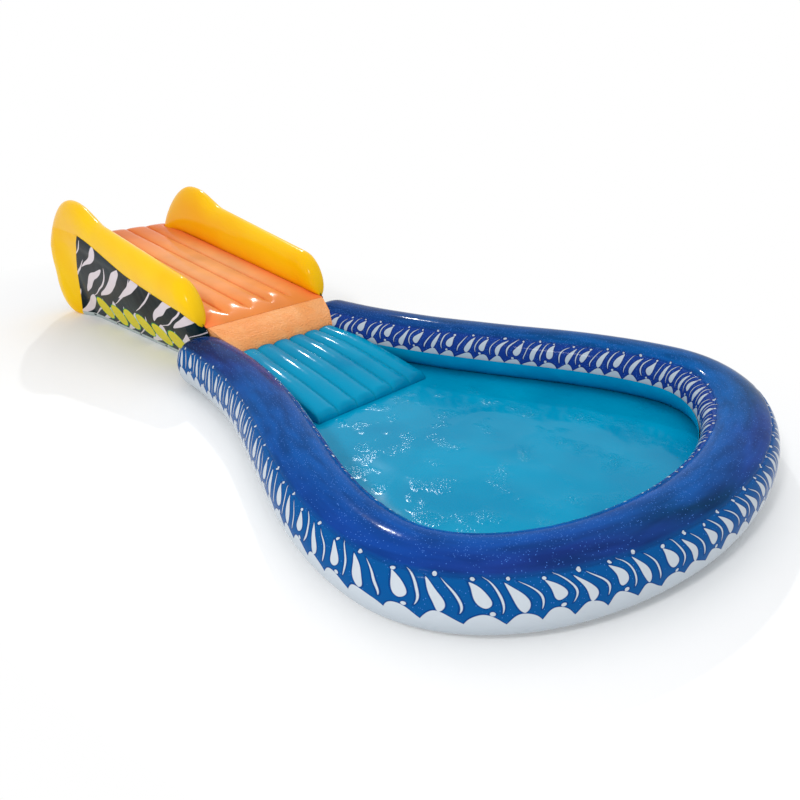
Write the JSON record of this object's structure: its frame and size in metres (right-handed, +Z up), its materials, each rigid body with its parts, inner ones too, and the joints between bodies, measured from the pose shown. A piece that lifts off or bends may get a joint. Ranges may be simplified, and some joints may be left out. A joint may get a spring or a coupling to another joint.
{
  "type": "inflatable paddling pool with slide",
  "caption": "Pear-shaped inflatable paddling pool with a fat open tube wall and a padded slide that runs down into it between two side bolsters.",
  "frame": {"origin": "on the ground, in the middle of the length and of the width", "axes": "+X from the slide towards the pool's round end, +Y to the left of someone sliding down, +Z up"},
  "size_m": [4.5578, 2.3328, 0.8227],
  "materials": {
    "wall_vinyl": "glossy glitter-filled royal blue PVC film with a printed wave band",
    "liner_vinyl": "turquoise PVC film, semi-gloss",
    "bed_vinyl": "glossy orange PVC film",
    "pad_vinyl": "finely wrinkled light orange PVC film",
    "bolster_vinyl": "glossy yellow PVC film",
    "panel_vinyl": "printed near-black PVC film",
    "ramp_vinyl": "glossy teal PVC film",
    "inner_vinyl": "plain grey PVC film",
    "valve_vinyl": "translucent soft moulded PVC"
  },
  "bodies": {
    "pool": {"pool_wall": "wall_vinyl", "wall_liner": "liner_vinyl", "pool_floor": "liner_vinyl", "landing_pad": "pad_vinyl", "entry_ramp": "ramp_vinyl", "bed_sheet": "bed_vinyl", "bed_web_1": "inner_vinyl", "bed_web_2": "inner_vinyl", "bed_web_3": "inner_vinyl", "bed_web_4": "inner_vinyl", "left_bolster": "bolster_vinyl", "right_bolster": "bolster_vinyl", "left_side_panel": "panel_vinyl", "right_side_panel": "panel_vinyl", "back_panel": "panel_vinyl", "front_panel": "inner_vinyl", "base_sheet": "inner_vinyl", "wall_valve_stem": "valve_vinyl", "left_valve_stem": "valve_vinyl", "right_valve_stem": "valve_vinyl", "back_valve_stem": "valve_vinyl", "ramp_valve_stem": "valve_vinyl", "drain_neck": "valve_vinyl"},
    "wall_plug": {"wall_valve_plug": "valve_vinyl"},
    "wall_flap": {"wall_valve_flap": "valve_vinyl"},
    "left_plug": {"left_valve_plug": "valve_vinyl"},
    "left_flap": {"left_valve_flap": "valve_vinyl"},
    "right_plug": {"right_valve_plug": "valve_vinyl"},
    "right_flap": {"right_valve_flap": "valve_vinyl"},
    "back_plug": {"back_valve_plug": "valve_vinyl"},
    "back_flap": {"back_valve_flap": "valve_vinyl"},
    "ramp_plug": {"ramp_valve_plug": "valve_vinyl"},
    "ramp_flap": {"ramp_valve_flap": "valve_vinyl"},
    "drain_stopper": {"drain_plug": "valve_vinyl"}
  },
  "joints": [
    {"name": "wall_plug_pull", "type": "slide", "parent": "pool", "child": "wall_plug", "axis": [-0.2216, 0.9751, 0], "range_m": [0, 0.01]},
    {"name": "left_plug_pull", "type": "slide", "parent": "pool", "child": "left_plug", "axis": [-0.9439, 0, 0.3303], "range_m": [0, 0.01]},
    {"name": "right_plug_pull", "type": "slide", "parent": "pool", "child": "right_plug", "axis": [-0.9439, 0, 0.3303], "range_m": [0, 0.01]},
    {"name": "back_plug_pull", "type": "slide", "parent": "pool", "child": "back_plug", "axis": [-1, 0, 0], "range_m": [0, 0.01]},
    {"name": "ramp_plug_pull", "type": "slide", "parent": "pool", "child": "ramp_plug", "axis": [0.0434, -0.9991, 0], "range_m": [0, 0.01]},
    {"name": "drain_plug_lift", "type": "slide", "parent": "pool", "child": "drain_stopper", "axis": [0, 0, 1], "range_m": [0, 0.016]},
    {"name": "wall_flap_swing", "type": "hinge", "parent": "pool", "child": "wall_flap", "pos_m": [0.00538, 0.65205, 0.13625], "axis": [-0.9751, -0.2216, 0], "range_deg": [0, 40], "stiffness_Nm_per_rad": 0.000001, "springref_deg": -28.65},
    {"name": "left_flap_swing", "type": "hinge", "parent": "pool", "child": "left_flap", "pos_m": [-2.2264, 0.39929, 0.30217], "axis": [0, -1, 0], "range_deg": [0, 40], "stiffness_Nm_per_rad": 0.000001, "springref_deg": -28.65},
    {"name": "right_flap_swing", "type": "hinge", "parent": "pool", "child": "right_flap", "pos_m": [-2.2264, -0.39929, 0.30217], "axis": [0, -1, 0], "range_deg": [0, 40], "stiffness_Nm_per_rad": 0.000001, "springref_deg": -28.65},
    {"name": "back_flap_swing", "type": "hinge", "parent": "pool", "child": "back_flap", "pos_m": [-2.16089, 0, 0.3066], "axis": [0, -1, 0], "range_deg": [0, 40], "stiffness_Nm_per_rad": 0.000001, "springref_deg": -28.65},
    {"name": "ramp_flap_swing", "type": "hinge", "parent": "pool", "child": "ramp_flap", "pos_m": [0.22927, -0.35728, 0.0516], "axis": [0.9991, 0.0434, 0], "range_deg": [0, 40], "stiffness_Nm_per_rad": 0.000001, "springref_deg": -28.65}
  ]
}
